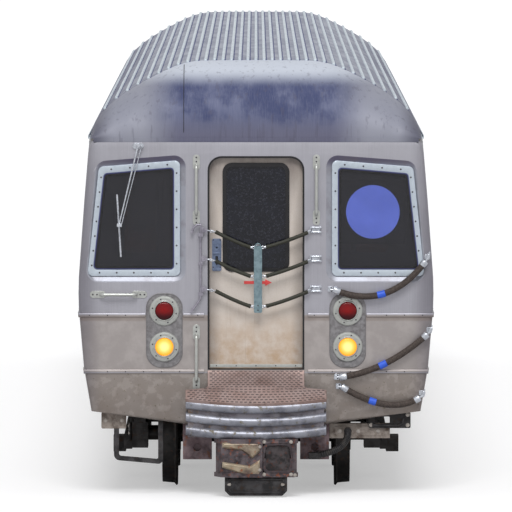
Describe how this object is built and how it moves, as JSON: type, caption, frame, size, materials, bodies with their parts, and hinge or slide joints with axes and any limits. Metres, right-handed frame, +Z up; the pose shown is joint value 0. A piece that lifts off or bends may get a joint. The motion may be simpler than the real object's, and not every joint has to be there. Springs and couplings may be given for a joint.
{
  "type": "metro car",
  "caption": "Stainless steel metro car with ribbed roof, sliding side doors, end doors, trucks, couplers, lamps, grab handles and safety chains.",
  "frame": {"origin": "under the car's middle, level with the lowest points of the wheel flanges", "axes": "+Z up, +Y along the car with the front end at -Y, +X to the right seen from the front"},
  "size_m": [3.063, 18.44, 3.745],
  "materials": {
    "stainless": "brushed, stained",
    "roof_metal": "satin, worn",
    "window_frame": "satin",
    "window_glass": "dark, dirty",
    "lining": "satin",
    "floor_rubber": "matt",
    "frame_paint": "matt, dirty",
    "worn_steel": "worn",
    "lens": "gloss",
    "handle_steel": "satin",
    "chain_sleeve": "matt",
    "cable_sleeve": "braided",
    "light_cover": "satin",
    "seat_plastic": "satin",
    "black_iron": "matt",
    "black_rubber": "matt",
    "door_paint": "stained",
    "coupler_iron": "rusty",
    "truck_iron": "rusty, dirty",
    "wheel_steel": "worn"
  },
  "bodies": {
    "carbody": {"underframe": "frame_paint", "truck_pivots": "wheel_steel", "floor": "floor_rubber", "side_wall_left": "stainless", "side_wall_right": "stainless", "lining_left": "lining", "lining_right": "lining", "side_window_frames": "window_frame", "side_glass_left": "window_glass", "side_glass_right": "window_glass", "roof": "roof_metal", "roof_cap_front": "roof_metal", "roof_cap_rear": "roof_metal", "end_wall_front": "stainless", "end_wall_rear": "stainless", "end_window_frames": "window_frame", "end_glass_front": "window_glass", "end_glass_rear": "window_glass", "anticlimber_front": "worn_steel", "anticlimber_rear": "worn_steel", "lamp_plates": "window_frame", "lamp_lenses": "lens", "grab_handles": "handle_steel", "gate_fittings": "handle_steel", "gate_chains": "chain_sleeve", "corner_cables": "cable_sleeve", "cable_hooks": "handle_steel", "wipers": "handle_steel", "ceiling": "lining", "ceiling_lights": "light_cover", "seats_left": "seat_plastic", "seats_right": "seat_plastic", "grab_poles": "handle_steel", "cab_walls_front": "lining", "cab_walls_rear": "lining", "cab_fittings": "frame_paint", "equipment": "frame_paint", "step_irons": "black_iron", "air_hoses": "black_rubber"},
    "doors_left_fore": {"doors_left_fore": "stainless"},
    "doors_left_aft": {"doors_left_aft": "stainless"},
    "doors_right_fore": {"doors_right_fore": "stainless"},
    "doors_right_aft": {"doors_right_aft": "stainless"},
    "end_door_front": {"end_door_front": "door_paint"},
    "end_door_rear": {"end_door_rear": "door_paint"},
    "coupler_front": {"coupler_front": "coupler_iron"},
    "coupler_rear": {"coupler_rear": "coupler_iron"},
    "truck_front": {"truck_front": "truck_iron"},
    "truck_rear": {"truck_rear": "truck_iron"},
    "wheelset_1": {"wheelset_1": "wheel_steel"},
    "wheelset_2": {"wheelset_2": "wheel_steel"},
    "wheelset_3": {"wheelset_3": "wheel_steel"},
    "wheelset_4": {"wheelset_4": "wheel_steel"}
  },
  "joints": [
    {"name": "doors_right_slide", "type": "slide", "parent": "carbody", "child": "doors_right_fore", "axis": [0, -1, 0], "range_m": [0, 0.62]},
    {"name": "doors_right_aft_slide", "type": "slide", "parent": "carbody", "child": "doors_right_aft", "axis": [0, 1, 0], "range_m": [0, 0.62]},
    {"name": "doors_left_slide", "type": "slide", "parent": "carbody", "child": "doors_left_fore", "axis": [0, -1, 0], "range_m": [0, 0.62]},
    {"name": "doors_left_aft_slide", "type": "slide", "parent": "carbody", "child": "doors_left_aft", "axis": [0, 1, 0], "range_m": [0, 0.62]},
    {"name": "end_door_front_hinge", "type": "hinge", "parent": "carbody", "child": "end_door_front", "pos_m": [0.412, -8.836, 1.083], "axis": [0, 0, -1], "range_deg": [0, 90]},
    {"name": "coupler_front_swing", "type": "hinge", "parent": "carbody", "child": "coupler_front", "pos_m": [0, -8.15, 0.34], "axis": [0, 0, 1], "range_deg": [-6, 6]},
    {"name": "truck_front_turn", "type": "hinge", "parent": "carbody", "child": "truck_front", "pos_m": [0, -6.795, 0.88], "axis": [0, 0, 1], "range_deg": [-5, 5]},
    {"name": "end_door_rear_hinge", "type": "hinge", "parent": "carbody", "child": "end_door_rear", "pos_m": [-0.412, 8.836, 1.083], "axis": [0, 0, -1], "range_deg": [0, 90]},
    {"name": "coupler_rear_swing", "type": "hinge", "parent": "carbody", "child": "coupler_rear", "pos_m": [0, 8.15, 0.34], "axis": [0, 0, 1], "range_deg": [-6, 6]},
    {"name": "truck_rear_turn", "type": "hinge", "parent": "carbody", "child": "truck_rear", "pos_m": [0, 6.795, 0.88], "axis": [0, 0, 1], "range_deg": [-5, 5]},
    {"name": "wheelset_1_roll", "type": "hinge", "parent": "truck_front", "child": "wheelset_1", "pos_m": [0, -7.8365, 0.46], "axis": [1, 0, 0], "continuous": true},
    {"name": "wheelset_2_roll", "type": "hinge", "parent": "truck_front", "child": "wheelset_2", "pos_m": [0, -5.7535, 0.46], "axis": [1, 0, 0], "continuous": true},
    {"name": "wheelset_3_roll", "type": "hinge", "parent": "truck_rear", "child": "wheelset_3", "pos_m": [0, 5.7535, 0.46], "axis": [1, 0, 0], "continuous": true},
    {"name": "wheelset_4_roll", "type": "hinge", "parent": "truck_rear", "child": "wheelset_4", "pos_m": [0, 7.8365, 0.46], "axis": [1, 0, 0], "continuous": true}
  ],
  "couplings": [
    {"joint": "doors_right_aft_slide", "follows": "doors_right_slide", "ratio": 1},
    {"joint": "doors_left_aft_slide", "follows": "doors_left_slide", "ratio": 1}
  ]
}
